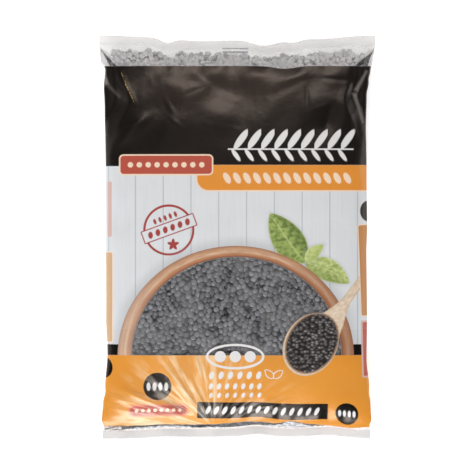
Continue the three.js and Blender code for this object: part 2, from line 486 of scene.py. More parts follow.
class Nodes:
    """Lays out the nodes of one material or group."""

    def __init__(self, tree):
        self.tree = tree

    def put(self, kind, inputs=None, **settings):
        node = self.tree.nodes.new(kind)
        for key, value in settings.items():
            setattr(node, key, value)
        for key, value in (inputs or {}).items():
            self.feed(node.inputs[key], value)
        return node

    def feed(self, socket, value):
        if isinstance(value, bpy.types.NodeSocket):
            self.tree.links.new(value, socket)
        else:
            socket.default_value = value

    def math(self, operation, *values, clamp=False):
        node = self.put("ShaderNodeMath", dict(enumerate(values)), operation=operation, use_clamp=clamp)
        return node.outputs[0]

    def plus(self, first, second):
        return self.math("ADD", first, second)

    def minus(self, first, second):
        return self.math("SUBTRACT", first, second)

    def times(self, first, second):
        return self.math("MULTIPLY", first, second)

    def parted(self, first, second):
        return self.math("DIVIDE", first, second)

    def larger(self, first, second):
        return self.math("MAXIMUM", first, second)

    def smaller(self, first, second):
        return self.math("MINIMUM", first, second)

    def vector(self, operation, *values, output=0):
        node = self.put("ShaderNodeVectorMath", dict(enumerate(values)), operation=operation)
        return node.outputs[output]

    def split(self, vector):
        return self.put("ShaderNodeSeparateXYZ", {0: vector}).outputs

    def join(self, x, y, z=0.0):
        return self.put("ShaderNodeCombineXYZ", {0: x, 1: y, 2: z}).outputs[0]

    def length(self, vector):
        return self.vector("LENGTH", vector, output=1)

    def turned(self, place, turn):
        """The place along axes that are turned by that angle."""
        inputs = {"Vector": place, "Angle": self.times(turn, -1.0)}
        return self.put("ShaderNodeVectorRotate", inputs, rotation_type="Z_AXIS").outputs[0]

    def stretched(self, place, across, up):
        """The place with its two coordinates scaled, for a pattern that is drawn out."""
        return self.vector("MULTIPLY", place, (across, up, 0.0))

    def mix(self, share, low, high):
        node = self.put("ShaderNodeMix", {0: share, 6: low, 7: high}, data_type="RGBA")
        return node.outputs[2]

    def between(self, value, low, high, to_low=0.0, to_high=1.0, soft=False):
        """The value carried from low..high to to_low..to_high, and held at both ends."""
        kind = "SMOOTHSTEP" if soft else "LINEAR"
        inputs = {0: value, 1: low, 2: high, 3: to_low, 4: to_high}
        return self.put("ShaderNodeMapRange", inputs, interpolation_type=kind).outputs[0]

    def noise(self, place, scale, detail=2.0, roughness=0.5, distortion=0.0):
        inputs = {
            "Vector": place,
            "Scale": scale,
            "Detail": detail,
            "Roughness": roughness,
            "Distortion": distortion,
        }
        return self.put("ShaderNodeTexNoise", inputs).outputs["Fac"]

    def ramp(self, value, stops):
        node = self.put("ShaderNodeValToRGB", {0: value})
        band = node.color_ramp
        for place, shade in stops[1:-1]:
            band.elements.new(place).color = shade
        for element, (place, shade) in ((band.elements[0], stops[0]), (band.elements[-1], stops[-1])):
            element.position, element.color = place, shade
        return node.outputs[0]

    def group(self, tree, **inputs):
        node = self.tree.nodes.new("ShaderNodeGroup")
        node.node_tree = tree
        for key, value in inputs.items():
            self.feed(node.inputs[key.replace("_", " ")], value)
        return node.outputs


def new_group(name, inputs, outputs):
    """A node group with named sockets. Returns its tree, its nodes, its inputs and its output node."""
    tree = bpy.data.node_groups.new(name, "ShaderNodeTree")
    kinds = {"value": "NodeSocketFloat", "place": "NodeSocketVector", "colour": "NodeSocketColor"}
    for label, (kind, default) in inputs.items():
        socket = tree.interface.new_socket(label, in_out="INPUT", socket_type=kinds[kind])
        socket.default_value = default
    for label, kind in outputs.items():
        tree.interface.new_socket(label, in_out="OUTPUT", socket_type=kinds[kind])
    nodes = Nodes(tree)
    given = nodes.put("NodeGroupInput").outputs
    return tree, nodes, given, nodes.put("NodeGroupOutput").inputs


def turned_place(nodes, given):
    """The place measured from the field's middle, along its own turned axes."""
    middle = nodes.join(given["Middle X"], given["Middle Y"])
    return nodes.turned(nodes.vector("SUBTRACT", given["Place"], middle), given["Turn"])


FIELD_INPUTS = {
    "Place": ("place", (0, 0, 0)),
    "Middle X": ("value", 0),
    "Middle Y": ("value", 0),
    "Half Width": ("value", 5),
    "Half Height": ("value", 5),
    "Turn": ("value", 0),
}
STRIP_INPUTS = {
    "Place": ("place", (0, 0, 0)),
    "Base X": ("value", 0),
    "Base Y": ("value", 0),
    "Length": ("value", 10),
    "Turn": ("value", 0),
}


def strip_place(nodes, given):
    """How far the place is along and across a strip, and how far it is past the strip's two ends."""
    base = nodes.join(given["Base X"], given["Base Y"])
    own = nodes.turned(nodes.vector("SUBTRACT", given["Place"], base), given["Turn"])
    x, y, _ = nodes.split(own)
    return x, y, nodes.larger(nodes.times(x, -1.0), nodes.minus(x, given["Length"]))


def make_block_group():
    """Distance to the edge of a block with rounded corners, negative inside."""
    inputs = dict(FIELD_INPUTS, Corner=("value", 1))
    tree, nodes, given, out = new_group("Printed block", inputs, {"Distance": "value"})
    place = nodes.vector("ABSOLUTE", turned_place(nodes, given))
    x, y, _ = nodes.split(place)
    inner_width = nodes.minus(given["Half Width"], given["Corner"])
    inner_height = nodes.minus(given["Half Height"], given["Corner"])
    dx = nodes.minus(x, inner_width)
    dy = nodes.minus(y, inner_height)
    outside = nodes.length(nodes.join(nodes.larger(dx, 0.0), nodes.larger(dy, 0.0)))
    inside = nodes.smaller(nodes.larger(dx, dy), 0.0)
    nodes.feed(out["Distance"], nodes.minus(nodes.plus(outside, inside), given["Corner"]))
    return tree


def make_oval_group():
    """Distance to the edge of an oval, negative inside, good near its edge."""
    tree, nodes, given, out = new_group("Printed oval", FIELD_INPUTS, {"Distance": "value"})
    x, y, _ = nodes.split(turned_place(nodes, given))
    radii = nodes.join(given["Half Width"], given["Half Height"], 1.0)
    near = nodes.vector("DIVIDE", nodes.join(x, y), radii)
    wide = nodes.math("POWER", given["Half Width"], 2.0)
    high = nodes.math("POWER", given["Half Height"], 2.0)
    slope = nodes.join(nodes.parted(x, wide), nodes.parted(y, high))
    reach = nodes.length(near)
    steep = nodes.larger(nodes.length(slope), 0.0001)
    over = nodes.times(reach, nodes.minus(reach, 1.0))
    nodes.feed(out["Distance"], nodes.parted(over, steep))
    return tree


def make_leaf_group():
    """A pointed leaf from its base to its tip: its edge, and how far a place is across and along it."""
    inputs = dict(STRIP_INPUTS, Width=("value", 4), Bow=("value", 0))
    outputs = {"Distance": "value", "Across": "value", "Along": "value"}
    tree, nodes, given, out = new_group("Printed leaf", inputs, outputs)
    x, y, past = strip_place(nodes, given)
    share = nodes.parted(x, given["Length"])
    arch = nodes.times(share, nodes.minus(1.0, share))
    belly = nodes.times(nodes.larger(arch, 0.0), 4.0)
    lean = nodes.between(share, 0.0, 1.0, 1.15, 0.8)
    half = nodes.times(nodes.times(given["Width"], 0.5), lean)
    full = nodes.times(half, nodes.math("POWER", belly, 0.75))
    bowed = nodes.minus(y, nodes.times(belly, given["Bow"]))
    beside = nodes.minus(nodes.math("ABSOLUTE", bowed), full)
    nodes.feed(out["Distance"], nodes.larger(beside, past))
    nodes.feed(out["Across"], nodes.parted(bowed, nodes.larger(full, 0.1)))
    nodes.feed(out["Along"], share)
    return tree


def make_seed_row_group():
    """A straight row of slanted seed shapes at an even pitch: distance to the nearest one's edge."""
    inputs = dict(FIELD_INPUTS, Pitch=("value", 8), Count=("value", 4), Slant=("value", 0.4))
    tree, nodes, given, out = new_group("Printed seed row", inputs, {"Distance": "value"})
    x, y, _ = nodes.split(turned_place(nodes, given))
    half_row = nodes.times(nodes.times(given["Pitch"], given["Count"]), 0.5)
    from_start = nodes.plus(x, half_row)
    cell = nodes.math("FLOOR", nodes.parted(from_start, given["Pitch"]))
    last = nodes.minus(given["Count"], 1.0)
    cell = nodes.larger(nodes.smaller(cell, last), 0.0)
    middle = nodes.times(nodes.plus(cell, 0.5), given["Pitch"])
    own_x = nodes.minus(from_start, middle)
    own_x, own_y, _ = nodes.split(nodes.turned(nodes.join(own_x, y), given["Slant"]))
    radii = nodes.join(given["Half Width"], given["Half Height"], 1.0)
    reach = nodes.length(nodes.vector("DIVIDE", nodes.join(own_x, own_y), radii))
    small = nodes.smaller(given["Half Width"], given["Half Height"])
    nodes.feed(out["Distance"], nodes.times(nodes.minus(reach, 1.0), small))
    return tree


def make_wood_group():
    """Printed wood: streaks that run along the turned axis."""
    inputs = {
        "Place": ("place", (0, 0, 0)),
        "Turn": ("value", 0),
        "Light": ("colour", (1, 1, 1, 1)),
        "Dark": ("colour", (0, 0, 0, 1)),
        "Scale": ("value", 0.5),
    }
    tree, nodes, given, out = new_group("Printed wood", inputs, {"Colour": "colour"})
    drawn_out = nodes.vector("MULTIPLY", nodes.turned(given["Place"], given["Turn"]), (0.15, 1.0, 1.0))
    streaks = nodes.noise(drawn_out, given["Scale"], detail=4.0, roughness=0.6)
    share = nodes.between(streaks, 0.3, 0.7, soft=True)
    nodes.feed(out["Colour"], nodes.mix(share, given["Dark"], given["Light"]))
    return tree


def make_handle_group():
    """A strip that narrows smoothly from its start to its end: distance to its edge."""
    inputs = {**STRIP_INPUTS, "Start Half": ("value", 4), "End Half": ("value", 2)}
    tree, nodes, given, out = new_group("Printed handle", inputs, {"Distance": "value"})
    x, y, past = strip_place(nodes, given)
    half = nodes.between(x, 0.0, given["Length"], given["Start Half"], given["End Half"], soft=True)
    beside = nodes.minus(nodes.math("ABSOLUTE", y), half)
    nodes.feed(out["Distance"], nodes.larger(beside, past))
    return tree


def make_crinkle_group():
    """Small unevenness of thin film over lentils: a height for bump, and a slow drift for its sheen."""
    inputs = {"Place": ("place", (0, 0, 0)), "Size": ("value", 9), "Grain": ("value", 0.3)}
    tree, nodes, given, out = new_group("Film crinkle", inputs, {"Height": "value", "Sheen": "value"})
    scale = nodes.parted(1.0, given["Size"])
    slanted = nodes.stretched(given["Place"], 1.0, 0.6)
    broad = nodes.noise(slanted, scale, detail=1.5, roughness=0.45, distortion=0.4)
    pressed = nodes.noise(given["Place"], nodes.times(scale, 2.7), detail=1.0)
    pressed = nodes.times(pressed, given["Grain"])
    nodes.feed(out["Height"], nodes.plus(broad, pressed))
    nodes.feed(out["Sheen"], nodes.noise(slanted, nodes.times(scale, 0.6), detail=1.0))
    return tree


# ------------------------------------------------------------------ the print

BLACK_INK = colour(8, 6, 5)
# Painted sheen: brownish black laid softly over the upper middle of the black band.
SHEEN_BLACK_INK = colour(54, 44, 40)
ORANGE_INK = colour(221, 149, 60)
DEEP_ORANGE_INK = colour(214, 140, 50)
TAB_INK = colour(222, 144, 56)
PALE_ORANGE_INK = colour(204, 170, 134)
WORN_ORANGE_INK = colour(190, 134, 82)
PALE_EDGE_INK = colour(238, 218, 196)
CREAM_INK = colour(238, 214, 190)
WHITE_INK = colour(224, 224, 225)
RED_INK = colour(178, 82, 68)
PALE_RED_INK = colour(208, 176, 170)
SOFT_RED_INK = colour(222, 128, 96)
GLARE_INK = colour(252, 224, 160)
PALE_GLARE_INK = colour(238, 230, 220)
# Painted sheen of the crinkled film by the foot seal: white where it shines, grey between.
SHEEN_WHITE_FILM = colour(232, 233, 236)
SHEEN_GREY_FILM = colour(176, 178, 182)
STAMP_INK = colour(160, 66, 64)
PLANK_INK = colour(215, 219, 223)
PLANK_GRAIN_INK = colour(200, 206, 212)
PLANK_GAP_INK = colour(150, 160, 170)
BOWL_SHADE_INK = colour(150, 152, 156)
CLEAR_FILM = colour(206, 207, 209)
FOOT_FILM = colour(184, 187, 190)
MARK_INK = colour(128, 126, 138)
FOLDED_IN_INK = colour(40, 38, 38)
DARK_FOLD_FILM = colour(66, 62, 60)
GOLD_CREASE_INK = colour(176, 150, 98)
LEAF_VEIN_INK = colour(200, 212, 150)
LEAF_EDGE_INK = colour(198, 212, 150)
SEED_GAP_INK = colour(32, 30, 30)
SEED_SHADE_INK = colour(150, 118, 92)

BLACK_TOP = 94.05
BLACK_DIP = (26, 1.6, 8)  # the dip in the black band's top line
BLACK_FOOT = 38.9
PLANKS_FOOT = -64.9
STRIPE_TOP = -58.9
ORANGE_FOOT = -104.4
FOLD_HIGHLIGHT_STRENGTH = 0.6
# Painted highlights where the black film is folded, pale streaks along the folds: (start, end, half breadth
# at each, ink).
FOLD_HIGHLIGHTS = [
    ((-73.3, 91.0), (-71.6, 84.0), 0.5, 0.9, colour(170, 162, 158)),
    ((-71.5, 84.0), (-64.5, 77.0), 0.9, 0.3, colour(92, 86, 84)),
    ((71.4, 91.5), (65.4, 80.5), 0.5, 0.9, colour(140, 134, 130)),
    ((64.2, 79.0), (69.6, 63.0), 0.8, 0.5, colour(140, 134, 130)),
]
# Rises of the orange's lower edge, and how far lentils show under it: (place across, height, half breadth).
ORANGE_EDGE = [(-1, 0.8, 12), (30, 1.9, 6), (58, -2, 14)]
LENTIL_STRIP = [(-68, 2.6, 9), (-22, 0.7, 6), (3, 2.5, 14), (28, -0.7, 9)]
PLANK_WIDTH = 15.235
PLANK_START = -55.7
PLANKS_BEFORE = 20.5  # boards added on the left, which keep what is divided above zero

BOWL_MIDDLE = (-0.66, -65.4)
BOWL_RADII = (64.9, 60.5)
WINDOW_MIDDLE = (-0.2, -65.4)
WINDOW_RADII = (57.6, 54.4)
BASIL_STALK = 37.4  # where the leaves meet, across the bag
EDGE_BLUR = 0.35  # how wide a printed edge is
LINE_BLUR = 0.15  # half of that for lines and bands

GLARE_STREAKS = 8.0  # streaks to a radian round the gather
GLARE_BREAKS = 0.035  # breaks to a millimetre along them

# How much of the clear film shows as haze, from 0 to 1.
HEADER_HAZE = 0.3
SEAL_HAZE = 0.45
LEFT_CORNER_HAZE = 0.08
WINDOW_HAZE = 0.1
# Thinner haze at the window's right, which paints that side darker as shade.
SHADED_WINDOW_HAZE = 0.05
FOOT_HAZE = 0.16
FOOT_SEAL_HAZE = 0.66
BACK_HAZE = 0.3
HAZE_DRIFT = 0.1
# How opaque the marks on the clear film are.
MARK_STRENGTH = 0.42
MARK_LINE_STRENGTH = 0.75
TUCK_STRENGTH = 0.8
SILVER_STRENGTH = 0.85

WARM_GLOSS = (1.0, 0.87, 0.8, 1)
FILM_IOR = 1.45
FOOT_ROUGHNESS = 0.25
TOP_ROUGHNESS = 0.37
CRINKLE_SIZE = 9.0
CRINKLE_GRAIN = 0.22
CRINKLE_HEIGHT = 0.7 * MM


class FilmPrint(Nodes):
    """Composes the print of the film on a material, field by field."""

    def __init__(self, tree, groups):
        super().__init__(tree)
        self.groups = groups
        self.place = self.put("ShaderNodeAttribute", attribute_name="print").outputs["Vector"]
        self.x, self.y, self.level = self.split(self.place)
        self.shade = PLANK_INK

    def field(self, kind, middle, half, **more):
        """A printed shape given by its middle and its half width and height: distance to its edge."""
        given = {
            "Place": self.place,
            "Middle_X": middle[0],
            "Middle_Y": middle[1],
            "Half_Width": half[0],
            "Half_Height": half[1],
        }
        return self.group(self.groups[kind], **{**given, **more})[0]

    def strip(self, kind, base, tip, **more):
        """A printed shape that runs from its base to its tip."""
        return self.group(
            self.groups[kind],
            Place=self.place,
            Base_X=base[0],
            Base_Y=base[1],
            Length=math.dist(base, tip),
            Turn=math.atan2(tip[1] - base[1], tip[0] - base[0]),
            **more,
        )

    def block(self, middle, half, corner=0.6, turn=0.0, **more):
        return self.field("block", middle, half, Corner=corner, Turn=turn, **more)

    def oval(self, middle, half, turn=0.0):
        return self.field("oval", middle, half, Turn=turn)

    def seeds(self, middle, half, pitch, count, slant=0.0, turn=0.0):
        return self.field("seeds", middle, half, Pitch=pitch, Count=float(count), Slant=slant, Turn=turn)

    def leaf(self, base, tip, width, bow=0.0):
        return self.strip("leaf", base, tip, Width=width, Bow=bow)

    def handle(self, base, tip, start_half, end_half):
        return self.strip("handle", base, tip, Start_Half=start_half, End_Half=end_half)[0]

    def inside(self, distance, soft=EDGE_BLUR, grow=0.0):
        """1 inside the edge and 0 outside it."""
        return self.between(distance, grow + soft / 2, grow - soft / 2)

    def line(self, distance, width):
        """1 on a line of that width centred on the edge."""
        off = self.math("ABSOLUTE", distance)
        return self.between(off, width / 2 + LINE_BLUR, width / 2 - LINE_BLUR)

    def lay(self, mask, ink):
        """Prints the ink as strongly as the mask says, over what is there."""
        self.shade = self.mix(mask, self.shade, ink)

    def fill(self, distance, ink, **edge):
        """Prints the ink inside a shape's edge."""
        self.lay(self.inside(distance, **edge), ink)

    def above(self, height):
        return self.between(self.y, height - LINE_BLUR, height + LINE_BLUR)

    def below(self, height):
        return self.between(self.y, height + LINE_BLUR, height - LINE_BLUR)

    def patches(self, across, up, detail=2.0):
        """Random patches on the print, drawn out by the two scales."""
        return self.noise(self.stretched(self.place, across, up), 1.0, detail=detail)

    def both(self, first, second):
        return self.times(first, second)

    def either(self, first, second):
        return self.larger(first, second)

    def not_in(self, mask):
        return self.math("SUBTRACT", 1.0, mask, clamp=True)

    def humps(self, given):
        """The sum of smooth rises across the bag: (place across, height, half breadth)."""
        total = 0.0
        for at, height, half_breadth in given:
            off = self.parted(self.minus(self.x, at), half_breadth)
            swell = self.math("EXPONENT", self.times(self.both(off, off), -1.0))
            total = self.math("MULTIPLY_ADD", swell, height, total)
        return total

    def in_header(self):
        """1 in the clear header, whose lower line dips a little on the right."""
        lifted = self.plus(self.level, self.humps([BLACK_DIP]))
        return self.between(lifted, BLACK_TOP - 0.2, BLACK_TOP + 0.2)

    def under_orange(self):
        """How far a place lies under the orange's wandering lower edge."""
        wander = self.times(self.noise(self.place, 0.12), -1.2)
        edge = self.plus(wander, self.humps(ORANGE_EDGE))
        edge = self.plus(edge, ORANGE_FOOT + 0.6)
        return self.minus(edge, self.y)

    def in_foot(self):
        """1 in the clear strip under the orange."""
        return self.between(self.under_orange(), -0.2, 0.2)

    def in_silver(self):
        """1 where the crinkled film under the lentils' last row shines white."""
        ragged = self.times(self.noise(self.place, 0.5), 1.6)
        over = self.plus(self.under_orange(), ragged)
        past = self.minus(over, self.humps(LENTIL_STRIP))
        return self.between(past, 1.3, 1.9)


def plank_lines(art):
    """Thin dark joints between the pale boards, and faint grain on them."""
    shifted = art.plus(art.x, -PLANK_START + PLANK_WIDTH * PLANKS_BEFORE)
    in_board = art.math("MODULO", shifted, PLANK_WIDTH)
    off = art.math("ABSOLUTE", art.minus(in_board, PLANK_WIDTH / 2))
    grain = art.noise(art.stretched(art.place, 1.0, 0.06), 0.55, detail=3.0, roughness=0.6)
    art.lay(art.between(grain, 0.45, 0.75, 0.0, 0.4), PLANK_GRAIN_INK)
    art.lay(art.between(off, 0.42, 0.12, 0.0, 0.62), PLANK_GAP_INK)


def wooden_bowl(art, outer):
    """The printed bowl: its rim as rings of lighter and darker wood. Returns the clear window's mask."""
    inner = art.oval(WINDOW_MIDDLE, WINDOW_RADII)
    depth = art.parted(outer, art.minus(outer, inner))
    rings = art.ramp(
        depth,
        [
            (0.0, colour(138, 92, 66)),
            (0.07, colour(176, 132, 102)),
            (0.3, colour(198, 158, 128)),
            (0.55, colour(214, 180, 152)),
            (0.66, colour(190, 142, 110)),
            (0.85, colour(172, 114, 80)),
            (0.94, colour(128, 84, 60)),
            (1.0, colour(62, 48, 42)),
        ],
    )
    round_it = art.math("ARCTAN2", art.minus(art.y, WINDOW_MIDDLE[1]), art.x)
    along_rim = art.join(art.times(depth, 4.0), art.times(round_it, 3.0))
    grain = art.noise(along_rim, 1.6, detail=4.0, roughness=0.6)
    rings = art.mix(art.between(grain, 0.42, 0.7, 0.0, 0.55), rings, colour(146, 94, 64))
    rings = art.mix(art.between(art.x, 20.0, 62.0, 0.0, 0.5, soft=True), rings, colour(128, 82, 56))
    rings = art.mix(art.between(art.x, -35.0, -63.0, 0.0, 0.35, soft=True), rings, colour(206, 188, 174))
    art.fill(outer, rings)
    return art.inside(inner, soft=0.6)


def basil_leaves(art):
    """Three printed leaves: mottled green with light edges and a faint middle vein."""
    mottle = art.noise(art.place, 0.4, detail=3.0, roughness=0.55, distortion=0.2)
    for base_y, tip, width, bow, light, dark, dark_from in (
        (-14.0, (61.6, -25.2), 12.6, 1.6, colour(196, 207, 138), colour(106, 130, 59), 0.35),
        (-14.2, (18.2, 12.9), 17.6, 0.5, colour(154, 174, 98), colour(66, 92, 40), -0.2),
        (-13.8, (47.4, -4.2), 6.8, 0.6, colour(196, 208, 138), colour(150, 168, 90), 0.4),
    ):
        leaf = art.leaf((BASIL_STALK, base_y), tip, width, bow)
        edge = art.math("ABSOLUTE", leaf["Across"])
        ribs = art.math("MULTIPLY_ADD", leaf["Along"], 38.0, art.times(edge, -7.0))
        ribs = art.math("SINE", art.math("MULTIPLY_ADD", mottle, 5.0, ribs))
        deep = art.math("MULTIPLY_ADD", ribs, 0.045, mottle)
        shade = art.mix(art.between(deep, 0.36, 0.68, 0.0, 0.7, soft=True), light, dark)
        shade = art.mix(art.between(leaf["Across"], dark_from, -1.0, 0.0, 0.6), shade, dark)
        shade = art.mix(art.between(edge, 0.09, 0.02, 0.0, 0.5), shade, LEAF_VEIN_INK)
        margin = art.between(leaf["Distance"], -0.9, -0.1, 0.0, 0.45)
        shade = art.mix(margin, shade, LEAF_EDGE_INK)
        art.lay(art.between(leaf["Distance"], 0.0, 2.4, 0.22, 0.0, soft=True), BOWL_SHADE_INK)
        art.fill(leaf["Distance"], shade)


def wooden_spoon(art):
    """The printed spoon with lentils in its bowl. Returns its mask."""
    turn = math.radians(59)
    bowl = art.oval((40.5, -58.9), (18.2, 14.4), turn)
    fill = art.oval((41.1, -58.3), (17.2, 13.2), turn)
    neck = art.handle((49.5, -50.0), (61.2, -33.4), 7.4, 2.4)
    stem = art.handle((59.2, -36.2), (73.5, -16.3), 2.5, 2.1)
    outline = art.math("SMOOTH_MIN", bowl, art.smaller(neck, stem), 2.5)
    wood = art.group(
        art.groups["wood"],
        Place=art.place,
        Turn=math.radians(56),
        Light=colour(228, 212, 194),
        Dark=colour(206, 184, 158),
        Scale=0.55,
    )[0]
    wood = art.mix(art.between(outline, -0.9, 0.0, 0.0, 0.5), wood, colour(190, 158, 124))
    spoon = art.inside(outline)
    art.lay(spoon, wood)
    art.lay(art.both(art.inside(fill, soft=0.9, grow=0.6), spoon), SEED_SHADE_INK)
    cells = {"Vector": art.place, "Scale": 0.5, "Randomness": 0.9}
    seeds = art.put("ShaderNodeTexVoronoi", cells, feature="F1")
    off = seeds.outputs["Distance"]
    tone = art.split(seeds.outputs["Color"])[0]
    lit = art.mix(tone, colour(104, 102, 104), colour(166, 164, 166))
    body = art.mix(tone, colour(70, 68, 68), colour(104, 102, 102))
    lentils = art.mix(art.between(off, 0.08, 0.34), lit, body)
    lentils = art.mix(art.between(off, 0.34, 0.66), lentils, SEED_GAP_INK)
    ragged = art.math("MULTIPLY_ADD", off, 1.2, fill)
    art.fill(ragged, lentils, soft=0.5, grow=0.4)
    return spoon


def stamp(art):
    """A round red stamp with a slanted banner across it, a row of seeds above it and a star below."""
    middle = (-37.4, 3.85)
    turn = math.radians(20)
    ring = art.oval(middle, (13.4, 13.4))
    art.lay(art.line(ring, 1.25), STAMP_INK)
    above = (middle[0] - 2.0, middle[1] + 6.6)
    art.fill(art.seeds(above, (0.8, 1.6), 3.0, 5, 0.0, turn), STAMP_INK)
    for petal in range(5):
        angle = math.radians(90 + 72 * petal)
        base = (middle[0] + 2.4, middle[1] - 8.0)
        tip = (base[0] + 3.4 * math.cos(angle), base[1] + 3.4 * math.sin(angle))
        art.fill(art.leaf(base, tip, 1.9)["Distance"], STAMP_INK)
    banner_middle = (-37.3, 4.6)
    banner = art.block(banner_middle, (15.1, 3.4), 0.3, turn)
    art.fill(banner, PLANK_INK)
    art.lay(art.line(banner, 0.6), STAMP_INK)
    art.fill(art.seeds(banner_middle, (1.3, 1.9), 4.3, 6, -0.3, turn), STAMP_INK)


def black_band(art):
    """The black band with its sprig, and the orange tab and red label on its lower edge."""
    art.lay(art.above(BLACK_FOOT), BLACK_INK)
    # Painted sheen: a soft brownish field over the upper middle of the black band.
    painted_sheen = art.oval((-6.0, 86.0), (45.0, 20.0))
    painted_sheen = art.between(painted_sheen, 9.0, -15.0, 0.0, 0.6, soft=True)
    art.lay(art.both(painted_sheen, art.above(BLACK_FOOT)), SHEEN_BLACK_INK)
    # A thin gold line, broken in patches, along a crease at the band's upper left.
    upper = art.handle((-63.9, 91.5), (-60.9, 83.6), 0.15, 0.42)
    lower = art.handle((-60.9, 83.6), (-56.0, 73.0), 0.42, 0.1)
    gold_crease = art.smaller(upper, lower)
    patchy = art.between(art.noise(art.place, 0.7), 0.42, 0.58)
    art.lay(art.both(art.inside(gold_crease, soft=0.3), patchy), GOLD_CREASE_INK)
    # Painted highlights along the folds near the band's two sides.
    for start, end, start_half, end_half, ink in FOLD_HIGHLIGHTS:
        fold_highlight = art.handle(start, end, start_half, end_half)
        art.lay(art.both(art.inside(fold_highlight, soft=1.6), FOLD_HIGHLIGHT_STRENGTH), ink)
    art.fill(art.block((29.5, 48.2), (34.5, 0.4), 0.3), WHITE_INK)
    for middle, half, slant in (((31.5, 53.6), (1.9, 6.6), -0.62), ((28.6, 44.9), (1.2, 3.9), 0.62)):
        art.fill(art.seeds(middle, half, 7.3, 9, slant), WHITE_INK)

    tab = art.block((30.0, 32.6), (51.8, 6.9), 6.2)
    tab_right = art.block((64.0, 32.6), (30.0, 6.9), 0.2)
    tab = art.smaller(tab, tab_right)
    under_black = art.below(39.5)
    art.lay(art.both(art.inside(tab, grow=0.7), under_black), CREAM_INK)
    art.lay(art.both(art.inside(tab), under_black), TAB_INK)
    art.fill(art.seeds((27.5, 32.3), (1.7, 3.3), 5.5, 13, 0.5), CREAM_INK)

    middle = (-38.9, 39.6)
    label = art.block(middle, (25.9, 5.8), 2.6)
    art.fill(label, CREAM_INK)
    art.fill(label, RED_INK, grow=-0.8)
    art.fill(art.seeds(middle, (1.5, 1.5), 4.9, 9), CREAM_INK)


def orange_foot_marks(art):
    """Seed rows, sprig, discs, small label and dark bar on the orange foot of the front."""
    for height, size, count in ((-75.9, 2.2, 6), (-82.0, 1.8, 7), (-87.2, 1.6, 7)):
        half = (0.6 * size, size)
        row = art.seeds((-1.0, height), half, 31.0 / count, count, -0.35)
        art.fill(row, WHITE_INK)
    for tip in ((15.4, -73.0), (25.0, -73.4)):
        sprig = art.leaf((20.0, -77.4), tip, 3.6)["Distance"]
        art.lay(art.line(sprig, 0.5), WHITE_INK)
    for middle, radius in (((-43.7, -82.2), 7.7), ((60.4, -98.2), 6.3)):
        art.fill(art.oval(middle, (radius, radius)), BLACK_INK)
        art.fill(art.seeds(middle, (0.14 * radius, 0.3 * radius), radius * 0.42, 4), WHITE_INK)
    middle = (-43.3, -95.9)
    label = art.block(middle, (16.4, 3.6), 3.0)
    art.fill(label, SOFT_RED_INK, soft=0.9)
    art.fill(label, RED_INK, grow=-1.0)
    art.fill(art.seeds(middle, (1.0, 1.0), 3.4, 8), CREAM_INK)
    middle, turn = (14.0, -96.6), math.radians(-1.4)
    art.fill(art.block(middle, (35.9, 4.8), 0.3, turn), BLACK_INK)
    art.fill(art.seeds(middle, (1.1, 2.5), 4.6, 14, -0.42, turn), WHITE_INK)


def gather_glare(art):
    """How strongly the film shines along the creases that run to the gather in the foot seal."""
    away_x = art.minus(art.x, GATHER[0])
    away_y = art.minus(art.y, GATHER[1])
    turn = art.math("ARCTAN2", away_y, away_x)
    reach = art.length(art.join(away_x, away_y))
    drawn_out = art.join(art.times(turn, GLARE_STREAKS), art.times(reach, GLARE_BREAKS))
    streaks = art.noise(drawn_out, 1.0, detail=3.0, roughness=0.6)
    shine = art.between(streaks, 0.43, 0.7, 0.08, 0.9, soft=True)
    near = art.both(art.between(reach, 66.0, 22.0, soft=True), art.between(reach, 1.0, 9.0))
    leftwards = art.between(turn, 1.1, 1.9, 0.2, 1.0, soft=True)
    return art.both(shine, art.both(near, leftwards))


def pod_motif(art):
    """A white outlined pod with three seeds, half over the window. Returns its mask."""
    middle = (-1.0, -65.6)
    pod = art.oval(middle, (15.4, 6.4))
    seeds = art.seeds(middle, (3.1, 3.1), 8.2, 3)
    return art.either(art.line(pod, 1.3), art.inside(seeds))


def worn_label(art):
    """The scuffed label on the left side wall, which runs over both parts of the print."""
    label = art.block((-70.3, 15.3), (1.4, 15.2), 0.8)
    art.fill(label, PALE_RED_INK)


def side_panels(art):
    """Fields of colour on the two side walls, beyond the folds of the front."""
    for fold_at, top, foot, turn, ink in (
        (-68.6, -8.5, -57.5, 0.0, PALE_ORANGE_INK),
        (67.6, 6.6, -43.0, 0.042, WORN_ORANGE_INK),
    ):
        middle = (fold_at + math.copysign(5.2, fold_at), (top + foot) / 2)
        panel = art.block(middle, (5.2, (top - foot) / 2), 1.0, turn)
        art.fill(panel, PALE_EDGE_INK, grow=0.5)
        art.fill(panel, ink)
    label = art.block((72.9, -61.5), (4.4, 15.8), 0.8, 0.027)
    art.fill(label, PALE_RED_INK)
    art.fill(label, RED_INK, grow=-1.1)
    for middle in ((-73.4, -71.8), (72.6, 14.3)):
        art.fill(art.oval(middle, (5.0, 5.6)), BLACK_INK)


def lower_print(art):
    """Lays the print below the tab. Returns the clear window's mask."""
    plank_lines(art)
    worn_label(art)
    stamp(art)
    bowl = art.oval(BOWL_MIDDLE, BOWL_RADII)
    art.lay(art.between(bowl, 0.0, 7.0, 0.35, 0.0, soft=True), BOWL_SHADE_INK)
    art.lay(art.both(art.below(STRIPE_TOP), art.above(PLANKS_FOOT)), BLACK_INK)
    basil_leaves(art)
    window = wooden_bowl(art, bowl)
    in_orange = art.below(PLANKS_FOOT)
    drift = art.patches(0.02, 0.02, detail=1.0)
    art.lay(in_orange, art.mix(art.between(drift, 0.3, 0.7, soft=True), ORANGE_INK, DEEP_ORANGE_INK))
    glare = art.both(gather_glare(art), in_orange)
    art.lay(glare, GLARE_INK)
    spoon = wooden_spoon(art)
    orange_foot_marks(art)
    pod = pod_motif(art)
    art.lay(pod, WHITE_INK)
    art.lay(art.both(glare, 0.6), PALE_GLARE_INK)
    side_panels(art)
    for cover in (in_orange, spoon, pod):
        window = art.both(window, art.not_in(cover))
    return window


